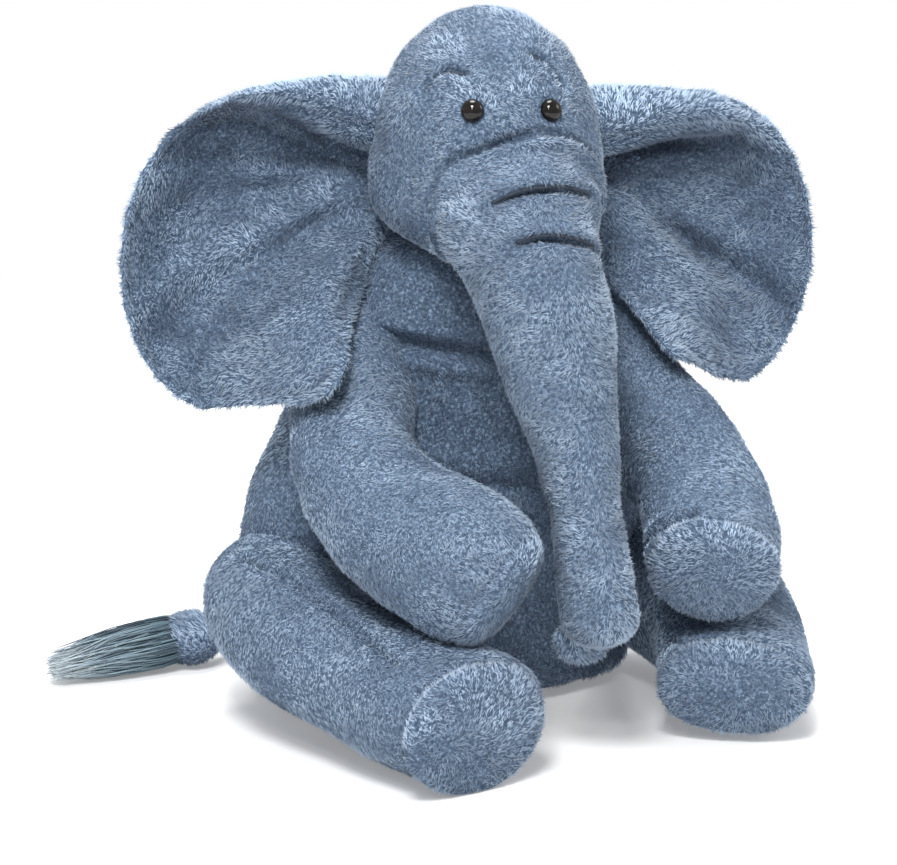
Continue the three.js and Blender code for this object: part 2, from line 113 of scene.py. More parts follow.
bpy.ops.object.select_all(action="DESELECT")
bpy.ops.mesh.primitive_plane_add(size=2.3, location=(0, 0, 0))
floor = bpy.context.object
floor.name = "floor"
paper = bpy.data.materials.new("whitePaper")
paper.use_nodes = True
paperShader = paper.node_tree.nodes["Principled BSDF"]
paperShader.inputs["Base Color"].default_value = (0.78, 0.78, 0.78, 1)
# a faint glow keeps the shadows soft
paperShader.inputs["Emission Color"].default_value = (1, 1, 1, 1)
paperShader.inputs["Emission Strength"].default_value = 0.22
paperShader.inputs["Roughness"].default_value = 0.9
paperShader.inputs["Specular IOR Level"].default_value = 0.1
floor.data.materials.append(paper)

# ---- materials ----


def newMaterial(name, **values):
    material = bpy.data.materials.new(name)
    material.use_nodes = True
    shader = material.node_tree.nodes["Principled BSDF"]
    for socket, value in values.items():
        shader.inputs[socket.replace("_", " ")].default_value = value
    return material, material.node_tree, shader


def addNode(tree, kind, **settings):
    node = tree.nodes.new(kind)
    for key, value in settings.items():
        setattr(node, key, value)
    return node


def addRamp(tree, factor, stops):
    ramp = addNode(tree, "ShaderNodeValToRGB")
    elements = ramp.color_ramp.elements
    while len(elements) < len(stops):
        elements.new(0.5)
    for element, (place, colour) in zip(elements, stops):
        element.position = place
        element.color = (*colour, 1)
    tree.links.new(factor, ramp.inputs["Fac"])
    return ramp.outputs["Color"]


def addNoise(tree, scale, detail=3, roughness=0.55):
    coords = addNode(tree, "ShaderNodeTexCoord")
    pattern = addNode(tree, "ShaderNodeTexNoise")
    pattern.inputs["Scale"].default_value = scale
    pattern.inputs["Detail"].default_value = detail
    pattern.inputs["Roughness"].default_value = roughness
    tree.links.new(coords.outputs["Object"], pattern.inputs["Vector"])
    return pattern.outputs["Fac"]


def addBump(tree, height, strength, distance, shader):
    bump = addNode(tree, "ShaderNodeBump")
    bump.inputs["Strength"].default_value = strength
    bump.inputs["Distance"].default_value = distance
    tree.links.new(height, bump.inputs["Height"])
    tree.links.new(bump.outputs["Normal"], shader.inputs["Normal"])


# the darkest tones paint the shade down between the hairs and at their roots, the lightest a highlight on
# their tips
plushTones = {
    "deep": (0.034, 0.054, 0.09),
    "root": (0.08, 0.118, 0.176),
    "mid": (0.23, 0.31, 0.425),
    "tip": (0.385, 0.49, 0.64),
    "tipHighlight": (0.49, 0.595, 0.735),
}


def makeBacking():
    # the woven ground that the pile grows from; its dark speckle is painted shade down between the hairs
    material, tree, shader = newMaterial("plushBacking", Roughness=0.95, Specular_IOR_Level=0.15)
    tree.links.new(addRamp(tree, addNoise(tree, 750, 4, 0.7), [
        (0.36, plushTones["deep"]), (0.52, plushTones["root"]), (0.68, plushTones["mid"])]),
                   shader.inputs["Base Color"])
    addBump(tree, addNoise(tree, 900, 2), 0.6, 0.0008, shader)
    return material


def makePile(name, tones, sheenTint):
    # along the second map axis each hair runs from its root, dark with painted shade, to its tip, light with
    # a painted highlight; the first axis carries its tone, painted shade and light included
    material, tree, shader = newMaterial(name, Roughness=0.62, Specular_IOR_Level=0.3,
                                         Sheen_Weight=0.4, Sheen_Roughness=0.45)
    shader.inputs["Sheen Tint"].default_value = (*sheenTint, 1)
    hairMap = addNode(tree, "ShaderNodeUVMap", uv_map="OFBake")
    split = addNode(tree, "ShaderNodeSeparateXYZ")
    tree.links.new(hairMap.outputs["UV"], split.inputs["Vector"])
    along = addRamp(tree, split.outputs["Y"], [
        (0.0, tones["root"]), (0.35, tones["mid"]), (0.75, tones["tip"]), (1.0, tones["tipHighlight"])])
    patch = addRamp(tree, split.outputs["X"], [
        (0.0, (0.22, 0.25, 0.31)), (0.5, (0.87, 0.88, 0.89)), (1.0, (1.48, 1.45, 1.38))])
    mix = addNode(tree, "ShaderNodeMix", data_type="RGBA", blend_type="MULTIPLY")
    mix.inputs["Factor"].default_value = 1
    tree.links.new(along, mix.inputs["A"])
    tree.links.new(patch, mix.inputs["B"])
    tree.links.new(mix.outputs["Result"], shader.inputs["Base Color"])
    return material


def makeSpeckled(name, low, high, scale, roughness, bumpScale, bumpDepth):
    material, tree, shader = newMaterial(name, Roughness=roughness)
    tree.links.new(addRamp(tree, addNoise(tree, scale), [(0.3, low), (0.7, high)]),
                   shader.inputs["Base Color"])
    addBump(tree, addNoise(tree, bumpScale), 0.6, bumpDepth, shader)
    return material


backing = makeBacking()
pile = makePile("plushPile", plushTones, (0.75, 0.85, 1))
tasselTones = {
    "root": (0.03, 0.055, 0.08),
    "mid": (0.085, 0.135, 0.17),
    "tip": (0.23, 0.31, 0.36),
    "tipHighlight": (0.66, 0.73, 0.77),
}
tasselHair = makePile("tasselHair", tasselTones, (0.8, 0.95, 1))
threadDark = makeSpeckled("darkThread", (0.008, 0.012, 0.022), (0.03, 0.045, 0.07), 900, 0.8, 2500, 0.0002)
wadding = makeSpeckled("fibreWadding", (0.8, 0.79, 0.76), (0.93, 0.92, 0.89), 120, 1, 400, 0.001)
pouchCloth = makeSpeckled("pouchCloth", (0.62, 0.57, 0.47), (0.74, 0.7, 0.6), 300, 0.9, 1500, 0.0004)
washerPlastic = makeSpeckled("washerPlastic", (0.78, 0.78, 0.76), (0.86, 0.86, 0.84), 80, 0.4, 900, 0.0001)


def makeEyeBead():
    material, tree, shader = newMaterial("eyeBead", Roughness=0.04, IOR=1.5, Specular_IOR_Level=0.4)
    gloss = addRamp(tree, addNoise(tree, 400), [
        (0.4, (0.004, 0.003, 0.003)), (0.7, (0.012, 0.008, 0.006))])
    tree.links.new(gloss, shader.inputs["Base Color"])
    return material


eyeBlack = makeEyeBead()

for nodeName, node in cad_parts.items():
    finish = None
    if "filling" in nodeName or "wadding" in nodeName:
        finish = wadding
    elif "pouch" in nodeName:
        finish = pouchCloth
    elif "washer" in nodeName:
        finish = washerPlastic
    elif "stitch" in nodeName or nodeName == "tail_tie":
        finish = threadDark
    elif nodeName.startswith("eye_"):
        finish = eyeBlack
    if finish:
        node.data.materials.clear()
        node.data.materials.append(finish)
print("materials made")

# ---- mesh helpers ----


def pickOnly(obj):
    if bpy.context.mode != "OBJECT":
        bpy.ops.object.mode_set(mode="OBJECT")
    bpy.ops.object.select_all(action="DESELECT")
    obj.select_set(True)
    bpy.context.view_layer.objects.active = obj


def coordsOf(obj):
    co = np.empty(len(obj.data.vertices) * 3)
    obj.data.vertices.foreach_get("co", co)
    return co.reshape(-1, 3)


def normalsOf(obj):
    normals = np.empty(len(obj.data.vertices) * 3)
    obj.data.vertices.foreach_get("normal", normals)
    return normals.reshape(-1, 3)


def setCoords(obj, co):
    obj.data.vertices.foreach_set("co", np.ascontiguousarray(co, dtype=np.float64).ravel())
    obj.data.update()


def unit(v):
    return v / np.maximum(np.linalg.norm(v, axis=-1, keepdims=True), 1e-12)


def smoothStep(x, low, high):
    t = np.clip((x - low) / (high - low), 0, 1)
    return t * t * (3 - 2 * t)


def softNoise(points, wavelength, seed, count=7):
    # a smooth wandering value from about -1 to 1, made of waves in random directions
    rng = np.random.default_rng(seed)
    total = np.zeros(len(points))
    for _ in range(count):
        direction = unit(rng.normal(size=3))
        size = wavelength * rng.uniform(0.6, 1.7)
        total += np.sin(points @ direction * (2 * math.pi / size) + rng.uniform(0, 2 * math.pi))
    return total / math.sqrt(count / 2) / 1.6


def copyOfNodes(name, nodes, hull=False):
    # one mesh from copies of CAD nodes, their loose triangles merged
    parts = []
    for nodeName in nodes:
        part = bpy.data.objects.new(nodeName + "Copy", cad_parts[nodeName].data.copy())
        bpy.context.collection.objects.link(part)
        part.data.materials.clear()
        parts.append(part)
    pickOnly(parts[0])
    for part in parts:
        part.select_set(True)
    if len(parts) > 1:
        bpy.ops.object.join()
    obj = bpy.context.object
    obj.name = name
    bpy.ops.object.mode_set(mode="EDIT")
    bpy.ops.mesh.select_all(action="SELECT")
    bpy.ops.mesh.remove_doubles(threshold=0.00001)
    if hull:
        bpy.ops.mesh.convex_hull()
    bpy.ops.object.mode_set(mode="OBJECT")
    return obj


def plainBall(name, segments, rings, radius):
    # a ball whose faces always come in the same order, so that hairs on it fall the same each time
    verts = [(0, 0, radius)]
    for ring in range(1, rings):
        lift = math.pi * ring / rings
        for segment in range(segments):
            turn = 2 * math.pi * segment / segments
            verts.append((radius * math.sin(lift) * math.cos(turn),
                          radius * math.sin(lift) * math.sin(turn), radius * math.cos(lift)))
    verts.append((0, 0, -radius))
    faces = []
    bottom, lastRing = len(verts) - 1, 1 + (rings - 2) * segments
    for segment in range(segments):
        following = (segment + 1) % segments
        faces.append((0, 1 + segment, 1 + following))
        for upper in range(1, lastRing, segments):
            lower = upper + segments
            faces.append((upper + segment, lower + segment, lower + following, upper + following))
        faces.append((lastRing + segment, bottom, lastRing + following))
    mesh = bpy.data.meshes.new(name)
    mesh.from_pydata(verts, [], faces)
    obj = bpy.data.objects.new(name, mesh)
    bpy.context.collection.objects.link(obj)
    return obj


def applyModifier(obj, kind, **settings):
    pickOnly(obj)
    modifier = obj.modifiers.new(kind, kind)
    for key, value in settings.items():
        setattr(modifier, key, value)
    bpy.ops.object.modifier_apply(modifier=modifier.name)


def keepOuterShell(obj):
    # a remeshed skin also has the inside of its wall: only the outer surface is kept
    mesh = bmesh.new()
    mesh.from_mesh(obj.data)
    mesh.verts.ensure_lookup_table()
    seen = [False] * len(mesh.verts)
    islands = []
    for start in mesh.verts:
        if seen[start.index]:
            continue
        seen[start.index] = True
        island, waiting = [], [start]
        while waiting:
            vert = waiting.pop()
            island.append(vert)
            for edge in vert.link_edges:
                other = edge.other_vert(vert)
                if not seen[other.index]:
                    seen[other.index] = True
                    waiting.append(other)
        islands.append(island)
    widths = []
    for island in islands:
        across, up = [v.co.x for v in island], [v.co.z for v in island]
        widths.append(max(across) - min(across) + max(up) - min(up))
    biggest = widths.index(max(widths))
    for number, island in enumerate(islands):
        if number != biggest:
            bmesh.ops.delete(mesh, geom=island, context="VERTS")
    mesh.to_mesh(obj.data)
    mesh.free()


def remeshed(obj, voxel, smoothing=8):
    applyModifier(obj, "REMESH", mode="VOXEL", voxel_size=voxel)
    keepOuterShell(obj)
    applyModifier(obj, "SMOOTH", factor=0.5, iterations=smoothing)
    return obj


def inflate(obj, pressure, cap, frames=14):
    # the skin fills out like a stuffed one; no point moves further than the cap
    before = coordsOf(obj)
    pickOnly(obj)
    cloth = obj.modifiers.new("inflate", "CLOTH")
    cloth.settings.quality = 3
    cloth.settings.mass = 0.3
    cloth.settings.use_pressure = True
    cloth.settings.uniform_pressure_force = pressure
    cloth.settings.tension_stiffness = 8
    cloth.settings.bending_stiffness = 0.6
    cloth.settings.effector_weights.gravity = 0
    cloth.point_cache.frame_end = frames
    for number in range(1, frames + 1):
        bpy.context.scene.frame_set(number)
    bpy.ops.object.modifier_apply(modifier=cloth.name)
    bpy.context.scene.frame_set(1)
    moved = coordsOf(obj) - before
    far = np.linalg.norm(moved, axis=1, keepdims=True)
    setCoords(obj, before + moved * np.minimum(1, cap / np.maximum(far, 1e-9)))


def pressRing(obj, centre, direction, width, depth, reach):
    # sinks a groove all round a limb, in the plane through a point, no further out than the reach
    co, normals = coordsOf(obj), normalsOf(obj)
    offset = co - np.array(centre)
    away = offset @ unit(np.array(direction))
    near = np.linalg.norm(offset, axis=1) < reach
    shape = -depth * np.exp(-(away / width) ** 2) * near
    setCoords(obj, co + normals * shape[:, None])


# ---- pile ----

pileLook = {
    "length": 3.6 * mm,
    "width": 0.68 * mm,
    "lean": 0.72,          # how much a hair lies down, 0 upright to 1 flat
    "gather": 0.35,        # how far the tips of a clump close up
    "sink": 0.8 * mm,      # how deep a hair starts in the backing
    "floorGap": 0.3 * mm,
    "clumpShare": 0.16,    # clumps for each hair
    "wideSwirl": {"turn": 0.8, "across": 0.07},
    "fineSwirl": {"turn": 0.45, "across": 0.024},
    "widePatch": {"shade": 0.2, "across": 0.05},
    "finePatch": {"shade": 0.2, "across": 0.018},
    "middleShade": 0.54,
    "flattest": 0.47 * math.pi,
}


def hairMesh(name, points, ups, sideways, tips, width, shades, material):
    # one closed four-sided spike for each hair
    count = len(points)
    half = sideways * (width / 2)[:, None]
    corners = np.stack([points - half, points + half, points + ups * (width * 0.7)[:, None], tips], 1)
    faces = np.array([[0, 1, 2], [0, 3, 1], [1, 3, 2], [2, 3, 0]])
    a, b, c, d = corners[0]
    if np.dot(np.cross(b - a, c - a), d - a) > 0:
        faces = faces[:, ::-1]
    loops = (np.arange(count)[:, None, None] * 4 + faces[None]).reshape(-1)
    mesh = bpy.data.meshes.new(name)
    mesh.vertices.add(count * 4)
    mesh.vertices.foreach_set("co", corners.reshape(-1))
    mesh.loops.add(len(loops))
    mesh.loops.foreach_set("vertex_index", loops.astype(np.int32))
    mesh.polygons.add(count * 4)
    mesh.polygons.foreach_set("loop_start", np.arange(0, count * 12, 3, dtype=np.int32))
    mesh.update(calc_edges=True)
    # the map holds the shade across and root to tip along
    across = np.array([-0.03, 0.03, 0.0, 0.0])
    along = np.array([0.03, 0.03, 0.1, 0.97])
    place = loops % 4
    hair = loops // 4
    spots = np.stack([np.clip(shades[hair] + across[place], 0.01, 0.99), along[place]], 1)
    layer = mesh.uv_layers.new(name="OFBake")
    layer.data.foreach_set("uv", spots.reshape(-1).astype(np.float32))
    mesh.materials.append(material)
    obj = bpy.data.objects.new(name, mesh)
    bpy.context.collection.objects.link(obj)
    return obj


def scatter(obj, count, rng, keep=None):
    # random points spread evenly over a mesh, with their normals
    obj.data.calc_loop_triangles()
    triangles = np.empty(len(obj.data.loop_triangles) * 3, dtype=np.int32)
    obj.data.loop_triangles.foreach_get("vertices", triangles)
    triangles = triangles.reshape(-1, 3)
    co, normals = coordsOf(obj), normalsOf(obj)
    a, b, c = co[triangles[:, 0]], co[triangles[:, 1]], co[triangles[:, 2]]
    areas = np.linalg.norm(np.cross(b - a, c - a), axis=1)
    if keep is not None:
        areas = areas * keep((a + b + c) / 3)
    chosen = rng.choice(len(areas), size=count, p=areas / areas.sum())
    u, v = rng.random(count), rng.random(count)
    over = u + v > 1
    u[over], v[over] = 1 - u[over], 1 - v[over]
    w = 1 - u - v
    picks = triangles[chosen]
    points = u[:, None] * co[picks[:, 0]] + v[:, None] * co[picks[:, 1]] + w[:, None] * co[picks[:, 2]]
    ups = unit(u[:, None] * normals[picks[:, 0]] + v[:, None] * normals[picks[:, 1]]
               + w[:, None] * normals[picks[:, 2]])
    return points, ups


def growPile(base, name, count, flow, seed, keep=None, length=1.0, lean=None, shadeAt=None):
    # short plush pile on a skin: hairs lean along the flow and gather in small clumps
    rng = np.random.default_rng(seed)
    points, ups = scatter(base, count, rng, keep)
    clumpCount = max(60, int(count * pileLook["clumpShare"]))
    clumpPoints = points[rng.choice(count, clumpCount, replace=False)]
    tree = kdtree.KDTree(clumpCount)
    for number, spot in enumerate(clumpPoints):
        tree.insert(spot, number)
    tree.balance()
    nearest = np.array([tree.find(p)[1] for p in points])
    pull = clumpPoints[nearest] - points
    clumpTurn = rng.normal(0, 0.35, clumpCount)[nearest]
    clumpShade = rng.normal(0, 0.08, clumpCount)[nearest]

    heading = flow(points, ups)
    heading = unit(heading - ups * (heading * ups).sum(1)[:, None])
    sideways = np.cross(ups, heading)
    wide, fine = pileLook["wideSwirl"], pileLook["fineSwirl"]
    swirl = wide["turn"] * softNoise(points, wide["across"], seed + 1)
    swirl = swirl + fine["turn"] * softNoise(points, fine["across"], seed + 2)
    swirl = swirl + clumpTurn + rng.normal(0, 0.25, count)
    heading = heading * np.cos(swirl)[:, None] + sideways * np.sin(swirl)[:, None]
    leanAngle = (lean or pileLook["lean"]) * math.pi / 2
    leanAngle = leanAngle + 0.12 * softNoise(points, 0.03, seed + 3) + rng.normal(0, 0.09, count)
    leanAngle = np.minimum(leanAngle, pileLook["flattest"])
    direction = ups * np.cos(leanAngle)[:, None] + heading * np.sin(leanAngle)[:, None]
    lengths = pileLook["length"] * length * rng.uniform(0.7, 1.15, count)
    roots = points - ups * pileLook["sink"]
    tips = roots + direction * lengths[:, None] + pull * pileLook["gather"]
    for ends in (tips, roots):
        ends[:, 2] = np.maximum(ends[:, 2], pileLook["floorGap"])
    widths = pileLook["width"] * rng.uniform(0.7, 1.25, count)
    wide, fine = pileLook["widePatch"], pileLook["finePatch"]
    shades = pileLook["middleShade"] + wide["shade"] * softNoise(points, wide["across"], seed + 4)
    shades = shades + fine["shade"] * softNoise(points, fine["across"], seed + 5)
    shades = shades + clumpShade + rng.normal(0, 0.08, count)
    if shadeAt is not None:
        shades = shades + shadeAt(points)
    acrossHair = unit(np.cross(direction, ups))
    return hairMesh(name, roots, ups, acrossHair, tips, widths, np.clip(shades, 0.04, 0.96), pile)


def towards(vector):
    direction = unit(np.array(vector, float))
    return lambda points, ups: np.tile(direction, (len(points), 1))


def finishSkin(obj, body, nodes):
    # a skin that is blended over a joint later has no body of its own here
    obj.data.materials.clear()
    obj.data.materials.append(backing)
    pickOnly(obj)
    bpy.ops.object.shade_smooth()
    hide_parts(*nodes)
    if body:
        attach(obj, body)


def finishPile(obj, body):
    if body:
        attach(obj, body)


pileDepth = 2.6 * mm       # the CAD skins hold the pile too, so the backing lies this far inside them


def sinkSkin(obj, depth=pileDepth):
    setCoords(obj, coordsOf(obj) - normalsOf(obj) * depth)


def snapped(obj, line):
    # a smooth run of points on the skin, through the points given
    points = [Vector(p) for p in line]
    ends = [points[0] * 2 - points[1]] + points + [points[-1] * 2 - points[-2]]
    run = []
    for i in range(1, len(ends) - 2):
        a, b, c, d = ends[i - 1:i + 3]
        for t in np.linspace(0, 1, 10, endpoint=i == len(ends) - 3):
            run.append((b * 2 + (c - a) * t + (a * 2 - b * 5 + c * 4 - d) * t * t
                        + (b * 3 - a - c * 3 + d) * t ** 3) * 0.5)
    return np.array([obj.closest_point_on_mesh(p)[1] for p in run])


def nearOn(co, run):
    # for each point: its distance to the run, the nearest spot on it, and how far along that is
    best = np.full(len(co), 9.0)
    spot = np.zeros(len(co), dtype=int)
    for number, place in enumerate(run):
        far = np.linalg.norm(co - place, axis=1)
        closer = far < best
        best[closer], spot[closer] = far[closer], number
    return best, run[spot], spot / (len(run) - 1)


def sewSeam(obj, line, width, depth, ridge=0.0):
    # a sewn seam: a narrow groove with the stuffing standing up a little on both sides
    run = snapped(obj, line)
    co, normals = coordsOf(obj), normalsOf(obj)
    gap = nearOn(co, run)[0]
    shape = -depth * np.exp(-(gap / width) ** 2) + ridge * np.exp(-((gap - 2.6 * width) / (1.4 * width)) ** 2)
    setCoords(obj, co + normals * shape[:, None])


def tuck(obj, line, width, depth, ridge, lip, side):
    # a tucked wrinkle: a slit with a roll of plush hanging over it from one side
    run = snapped(obj, line)
    co, normals = coordsOf(obj), normalsOf(obj)
    gap, nearest, along = nearOn(co, run)
    fade = np.sqrt(np.clip(np.sin(np.pi * np.clip(along, 0.02, 0.98)), 0, 1))
    signed = ((co - nearest)[:, 2]) * side
    across = np.where(np.abs(signed) > 0, np.sign(signed), 1) * gap
    roll = np.exp(-((across - 2.2 * width) / (1.7 * width)) ** 2)
    slit = np.exp(-(gap / width) ** 2)
    moved = normals * (ridge * roll - depth * slit)[:, None]
    moved[:, 2] -= side * lip * roll
    setCoords(obj, co + moved * fade[:, None])
    return run


def threadIn(name, run, normalsFrom, radius, sink, body, replaced):
    # the thread that holds a tuck, lying at the bottom of its slit
    points = []
    for place in run[2:-2]:
        hit = normalsFrom.closest_point_on_mesh(Vector(place))
        points.append(np.array(hit[1]) - np.array(hit[2]) * sink)
    points = np.array(points)
    sides, rings = 6, len(points)
    tangent = unit(np.gradient(points, axis=0))
    wide = unit(np.cross(tangent, [0.2, 0.9, 0.3]))
    deep = np.cross(tangent, wide)
    mesh = bmesh.new()
    loops = []
    for r in range(rings):
        swell = radius * (1 + 0.25 * math.sin(r * 2.1)) * math.sin(math.pi * (r + 0.6) / (rings + 0.2)) ** 0.3
        loops.append([mesh.verts.new(points[r] + (wide[r] * math.cos(a) + deep[r] * math.sin(a)) * swell)
                      for a in np.linspace(0, 2 * math.pi, sides, endpoint=False)])
    for a, b in zip(loops[:-1], loops[1:]):
        for i in range(sides):
            mesh.faces.new((a[i], a[(i + 1) % sides], b[(i + 1) % sides], b[i]))
    mesh.faces.new(loops[0][::-1])
    mesh.faces.new(loops[-1])
    bmesh.ops.recalc_face_normals(mesh, faces=mesh.faces)
    data = bpy.data.meshes.new(name)
    mesh.to_mesh(data)
    mesh.free()
    data.materials.append(threadDark)
    obj = bpy.data.objects.new(name, data)
    bpy.context.collection.objects.link(obj)
    pickOnly(obj)
    bpy.ops.object.shade_smooth()
    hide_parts(replaced)
    if body:
        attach(obj, body)
    return obj


def lumps(obj, size, wavelength, seed):
    # the uneven fill of a stuffed skin
    co = coordsOf(obj)
    setCoords(obj, co + normalsOf(obj) * (size * softNoise(co, wavelength, seed))[:, None])


def levelBase(obj, height=0.6 * mm):
    # what would pass through the surface that the toy sits on lies flat on it
    co = coordsOf(obj)
    co[:, 2] = np.maximum(co[:, 2], height)
    setCoords(obj, co)


# ---- torso ----

torsoLook = {
    "voxel": 4 * mm,
    "pressure": 4,
    "swell": 4 * mm,
    "hairs": 40000,
    "shoulders": 10 * mm,
    "shadowOfLimbs": {"all": 0.08, "front": 0.42},     # the belly and chest lie in the shade of the limbs
    "chestFold": [(-0.05, -0.018, 0.168), (-0.03, -0.03, 0.165),
                  (-0.012, -0.036, 0.162), (0.03, -0.034, 0.158)],
    "lapFold": [(-0.055, -0.03, 0.11), (-0.02, -0.05, 0.104), (0.03, -0.05, 0.1)],
}
torso = remeshed(copyOfNodes("torso_plush", ["torso_skin"], hull=True), torsoLook["voxel"])
sinkSkin(torso, pileDepth)
inflate(torso, torsoLook["pressure"], torsoLook["swell"])
applyModifier(torso, "SUBSURF", levels=1, render_levels=1)
lumps(torso, 1.2 * mm, 0.06, 11)
# full shoulders close the gaps beside the neck
shoulderShare = smoothStep(coordsOf(torso)[:, 2], 0.15, 0.185)
setCoords(torso, coordsOf(torso) + normalsOf(torso) * (torsoLook["shoulders"] * shoulderShare)[:, None])
sewSeam(torso, torsoLook["chestFold"], 3 * mm, 6 * mm, 3 * mm)
sewSeam(torso, torsoLook["lapFold"], 4 * mm, 3 * mm, 1.5 * mm)
levelBase(torso)
finishSkin(torso, "torso", ["torso_skin", "torso_filling", "seat_pouch"])
torsoFolds = [snapped(torso, torsoLook[fold]) for fold in ("chestFold", "lapFold")]


def paintedGrooveShade(points, runs, width, depth):
    # painted shade along seams, folds and slits, where their grooves lie in shadow
    paintedShade = np.zeros(len(points))
    for run in runs:
        paintedShade -= depth * np.exp(-(nearOn(points, run)[0] / width) ** 2)
    return paintedShade


# painted shade: the torso a little darker all over, the belly and chest darker still where they lie in the
# shade of the limbs, and painted shade in the folds
def torsoShade(points):
    front = smoothStep(-points[:, 1], 0, 0.03)
    folds = paintedGrooveShade(points, torsoFolds, 5 * mm, 0.2)
    return folds - torsoLook["shadowOfLimbs"]["all"] - torsoLook["shadowOfLimbs"]["front"] * front


torsoPile = growPile(torso, "torso_pile", torsoLook["hairs"], towards((0.1, 0, -1)), 101, length=1.15,
                     keep=lambda c: (c[:, 2] > 3 * mm) & (c[:, 2] < 0.215), shadeAt=torsoShade)
finishPile(torsoPile, "torso")
print("torso done")

# ---- head and trunk ----

headLook = {
    "roughVoxel": 3 * mm,      # for the ball and the tube before they are joined
    "flapVoxel": 1.5 * mm,
    "voxel": 2.8 * mm,
    "hairs": 40000,
    "trunkHairs": 38000,
    "bridge": [(-0.047, -0.044, 0.208), (-0.044, -0.050, 0.226), (-0.040, -0.056, 0.242),
               (-0.034, -0.059, 0.250), (-0.024, -0.065, 0.255), (-0.011, -0.068, 0.259),
               (0.001, -0.072, 0.263), (0.014, -0.071, 0.262), (0.027, -0.066, 0.255),
               (0.035, -0.062, 0.245), (0.040, -0.054, 0.229)],
    "bridgeStep": 3.6 * mm,
    "belowBridge": (-0.004, -0.09, 0.225),
    "upperWrinkle": [(-0.029, -0.082, 0.233), (-0.018, -0.087, 0.239), (-0.006, -0.088, 0.241),
                     (0.008, -0.087, 0.240), (0.025, -0.079, 0.233)],
    "lowerWrinkle": [(-0.024, -0.095, 0.219), (-0.013, -0.099, 0.223), (-0.003, -0.100, 0.223),
                     (0.008, -0.099, 0.220), (0.023, -0.093, 0.213)],
    "rightBrow": [(-0.041, -0.040, 0.278), (-0.036, -0.044, 0.285),
                  (-0.030, -0.048, 0.288), (-0.023, -0.053, 0.286)],
    "leftBrow": [(0.005, -0.055, 0.294), (0.011, -0.057, 0.291),
                 (0.016, -0.059, 0.286), (0.020, -0.060, 0.279)],
    "noseBridge": (-0.010, -0.075, 0.265),
    "wrinkleTuck": {"width": 2 * mm, "depth": 5.5 * mm, "ridge": 3.2 * mm, "lip": 2.2 * mm, "side": 1},
    "browTuck": {"width": 2 * mm, "depth": 5.5 * mm, "ridge": 2.4 * mm, "lip": 1 * mm, "side": -1},
    "trunkWall": 5.6 * mm,     # from the trunk's filling out to the tips of its pile
    "blendFrom": (0, -0.060, 0.240),
    "blendTo": (0, -0.095, 0.180),
}


def growOut(obj, distance):
    setCoords(obj, coordsOf(obj) + normalsOf(obj) * distance)


headBall = remeshed(copyOfNodes("headBall", ["head_skin"], hull=True), headLook["roughVoxel"], 6)
sinkSkin(headBall, pileDepth)
trunkTube = remeshed(copyOfNodes("trunkTube", ["trunk_filling"]), headLook["roughVoxel"], 6)
growOut(trunkTube, headLook["trunkWall"] - pileDepth)
tipFlap = remeshed(copyOfNodes("tipFlap", ["trunk_tip_flap"]), headLook["flapVoxel"], 3)
pickOnly(headBall)
trunkTube.select_set(True)
tipFlap.select_set(True)
bpy.ops.object.join()
head = bpy.context.object
head.name = "head_trunk_plush"
remeshed(head, headLook["voxel"], 5)
applyModifier(head, "SUBSURF", levels=1, render_levels=1)
lumps(head, 0.7 * mm, 0.05, 21)
# the top of the trunk stands proud of the face below the bridge seam
bridgeRun = snapped(head, headLook["bridge"])
co, normals = coordsOf(head), normalsOf(head)
gap, nearest, _ = nearOn(co, bridgeRun)
inward = np.array(headLook["belowBridge"]) - nearest
below = ((co - nearest) * unit(inward)).sum(1)
proud = smoothStep(below, 0, 0.004) * (1 - smoothStep(gap, 0.018, 0.034)) * (normals[:, 1] < 0.1)
setCoords(head, co + normals * (headLook["bridgeStep"] * proud)[:, None])
sewSeam(head, headLook["bridge"], 1.7 * mm, 3.2 * mm, 0.8 * mm)
upperRun = tuck(head, headLook["upperWrinkle"], **headLook["wrinkleTuck"])
lowerRun = tuck(head, headLook["lowerWrinkle"], **headLook["wrinkleTuck"])
rightBrowRun = tuck(head, headLook["rightBrow"], **headLook["browTuck"])
leftBrowRun = tuck(head, headLook["leftBrow"], **headLook["browTuck"])

eyeLook = {
    "radius": 5.0 * mm,
    "flatness": 0.85,
    "sunk": 0.8 * mm,
    "dimple": 1.8 * mm,
    "dimpleWidth": 8 * mm,
    "skullMiddle": (0, -0.018, 0.266),
}
eyes = {}
for side in ("left", "right"):
    low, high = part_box("eye_" + side)
    centre = np.array((low + high) / 2)
    outward = unit(centre - np.array(eyeLook["skullMiddle"]))
    co = coordsOf(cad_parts["eye_" + side])
    tip = co[np.argmax(co @ outward)]
    hit = head.closest_point_on_mesh(Vector(tip))
    eyes[side] = {"spot": np.array(hit[1]), "out": unit(np.array(hit[2]) + outward)}
for eye in eyes.values():
    co, normals = coordsOf(head), normalsOf(head)
    gap = np.linalg.norm(co - eye["spot"], axis=1)
    dent = eyeLook["dimple"] * np.exp(-(gap / eyeLook["dimpleWidth"]) ** 2)
    setCoords(head, co - normals * dent[:, None])
finishSkin(head, None, ["head_skin", "head_filling", "trunk_skin", "trunk_filling", "trunk_tip_flap"])

threadLook = {"radius": 1.1 * mm, "sink": -0.3 * mm}
wrinkleThreads = []
for name, run, replaced in [("upper_wrinkle_thread", upperRun, "trunk_crease_stitch_upper"),
                            ("lower_wrinkle_thread", lowerRun, "trunk_crease_stitch_lower")]:
    wrinkleThreads.append(threadIn(name, run, head, **threadLook, body=None, replaced=replaced))
for name, run, replaced in [("right_brow_thread", rightBrowRun, "brow_stitch_right"),
                            ("left_brow_thread", leftBrowRun, "brow_stitch_left")]:
    threadIn(name, run, head, **threadLook, body="head", replaced=replaced)

